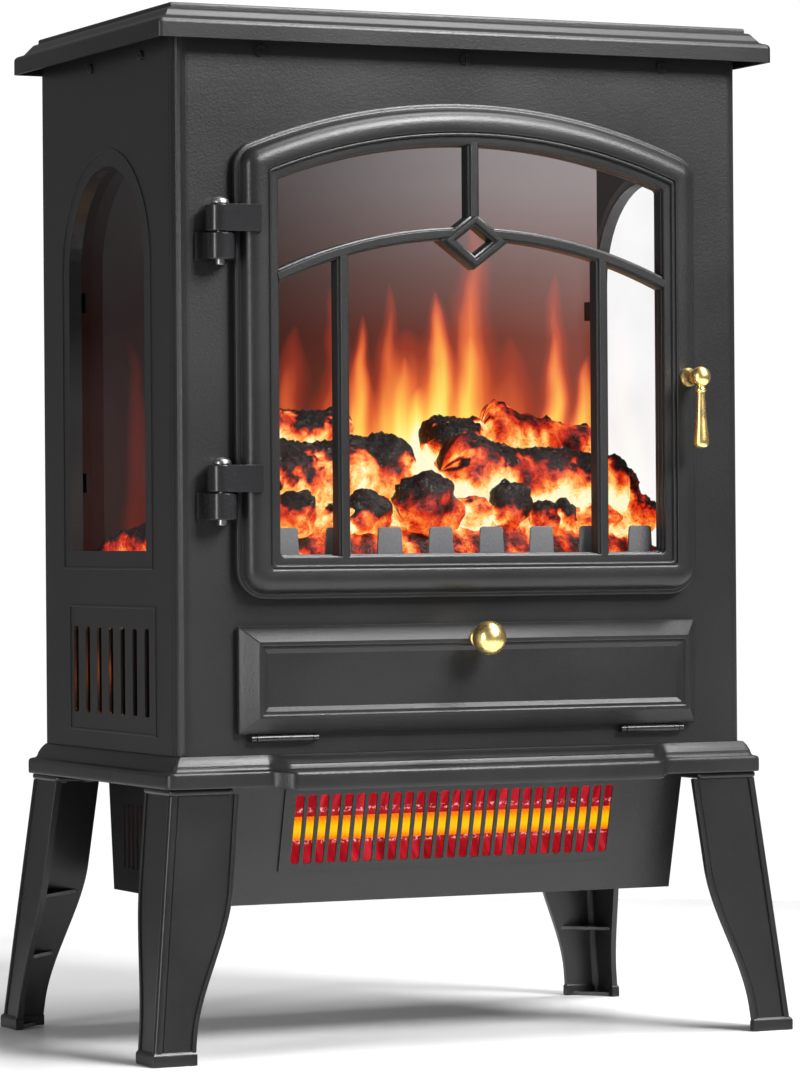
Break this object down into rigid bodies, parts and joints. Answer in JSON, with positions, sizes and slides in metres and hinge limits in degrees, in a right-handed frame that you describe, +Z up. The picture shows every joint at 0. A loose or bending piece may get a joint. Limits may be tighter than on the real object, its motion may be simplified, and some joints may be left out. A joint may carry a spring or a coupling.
{
  "type": "electric fireplace",
  "caption": "Free-standing electric stove heater: black steel cabinet on splayed legs, arched glazed door, control flap, flame-effect firebox and a glowing quartz heater below.",
  "frame": {"origin": "on the floor, at the middle of the object's box in plan", "axes": "+Z up, +Y towards the back, +X towards the stove's right as seen from the front"},
  "size_m": [0.4192, 0.2736, 0.61],
  "materials": {
    "cabinet_paint": "satin black with a fine texture",
    "leg_black": "semi-gloss black",
    "hardware_black": "gloss black",
    "zinc": "zinc plated",
    "brass": "polished brass",
    "clear_glass": "clear",
    "flame_screen": "translucent, lit from behind",
    "ember_resin": "translucent, lit from below",
    "log_resin": "charred, moulded and hand coloured",
    "grey_steel": "satin grey",
    "circuit_board": "green solder mask",
    "black_plastic": "moulded, fine texture",
    "quartz": "glowing",
    "ceramic": "unglazed",
    "reflector": "polished"
  },
  "bodies": {
    "cabinet": {"top_cover": "cabinet_paint", "front_panel": "cabinet_paint", "left_side_panel": "cabinet_paint", "right_side_panel": "cabinet_paint", "back_panel": "cabinet_paint", "base_plate": "cabinet_paint", "leg_front_left": "leg_black", "leg_front_right": "leg_black", "leg_back_left": "leg_black", "leg_back_right": "leg_black", "leg_screws": "zinc", "cover_screws": "hardware_black", "back_screws": "hardware_black", "left_window_glass": "clear_glass", "right_window_glass": "clear_glass", "window_clips": "hardware_black", "firebox_floor": "hardware_black", "flame_screen": "flame_screen", "ember_bed": "ember_resin", "log_set": "log_resin", "grate_fence": "grey_steel", "led_board": "circuit_board", "flicker_motor": "zinc", "flicker_bearing": "zinc", "control_plate": "cabinet_paint", "power_switch_body": "black_plastic", "heat_switch_body": "black_plastic", "thermostat_body": "zinc", "dimmer_body": "zinc", "control_board": "circuit_board", "heater_housing": "cabinet_paint", "heater_grille": "cabinet_paint", "quartz_tube": "quartz", "tube_end_caps": "ceramic", "heat_reflector": "reflector", "thermal_cutoff": "black_plastic", "blower_motor": "zinc", "blower_bearing": "zinc", "cord_bush": "black_plastic", "hinge_brackets": "hardware_black", "hinge_pins": "zinc", "magnet_catch": "black_plastic", "flap_hinge_pins": "hardware_black"},
    "door": {"door_frame": "cabinet_paint", "door_tracery": "cabinet_paint", "door_glass": "clear_glass", "glass_clips": "zinc", "striker_plate": "zinc", "hinge_arms": "hardware_black"},
    "handle": {"door_handle": "brass"},
    "flap": {"flap_panel": "cabinet_paint", "flap_knob": "brass", "flap_barrels": "hardware_black"},
    "power_rocker": {"power_rocker": "black_plastic"},
    "heat_rocker": {"heat_rocker": "black_plastic"},
    "thermostat_knob": {"thermostat_knob": "black_plastic"},
    "dimmer_knob": {"dimmer_knob": "black_plastic"},
    "flicker_rod": {"flicker_rod": "zinc"},
    "blower_wheel": {"blower_wheel": "hardware_black"}
  },
  "joints": [
    {"name": "door_swing", "type": "hinge", "parent": "cabinet", "child": "door", "pos_m": [-0.1615, -0.10785, 0.4], "axis": [0, 0, -1], "range_deg": [0, 120]},
    {"name": "handle_turn", "type": "hinge", "parent": "door", "child": "handle", "pos_m": [0.1405, -0.11885, 0.3965], "axis": [0, 1, 0], "range_deg": [0, 90]},
    {"name": "flap_drop", "type": "hinge", "parent": "cabinet", "child": "flap", "pos_m": [0, -0.10205, 0.1854], "axis": [1, 0, 0], "range_deg": [0, 85]},
    {"name": "power_rock", "type": "hinge", "parent": "cabinet", "child": "power_rocker", "pos_m": [-0.095, -0.06835, 0.22], "axis": [-1, 0, 0], "range_deg": [0, 16]},
    {"name": "heat_rock", "type": "hinge", "parent": "cabinet", "child": "heat_rocker", "pos_m": [-0.055, -0.06835, 0.22], "axis": [-1, 0, 0], "range_deg": [0, 16]},
    {"name": "thermostat_turn", "type": "hinge", "parent": "cabinet", "child": "thermostat_knob", "pos_m": [0.02, -0.07885, 0.22], "axis": [0, 1, 0], "range_deg": [0, 270]},
    {"name": "dimmer_turn", "type": "hinge", "parent": "cabinet", "child": "dimmer_knob", "pos_m": [0.085, -0.07885, 0.22], "axis": [0, 1, 0], "range_deg": [0, 270]},
    {"name": "flicker_spin", "type": "hinge", "parent": "cabinet", "child": "flicker_rod", "pos_m": [0, 0.09995, 0.33], "axis": [1, 0, 0], "continuous": true},
    {"name": "blower_spin", "type": "hinge", "parent": "cabinet", "child": "blower_wheel", "pos_m": [0, 0.04095, 0.122], "axis": [1, 0, 0], "continuous": true}
  ]
}
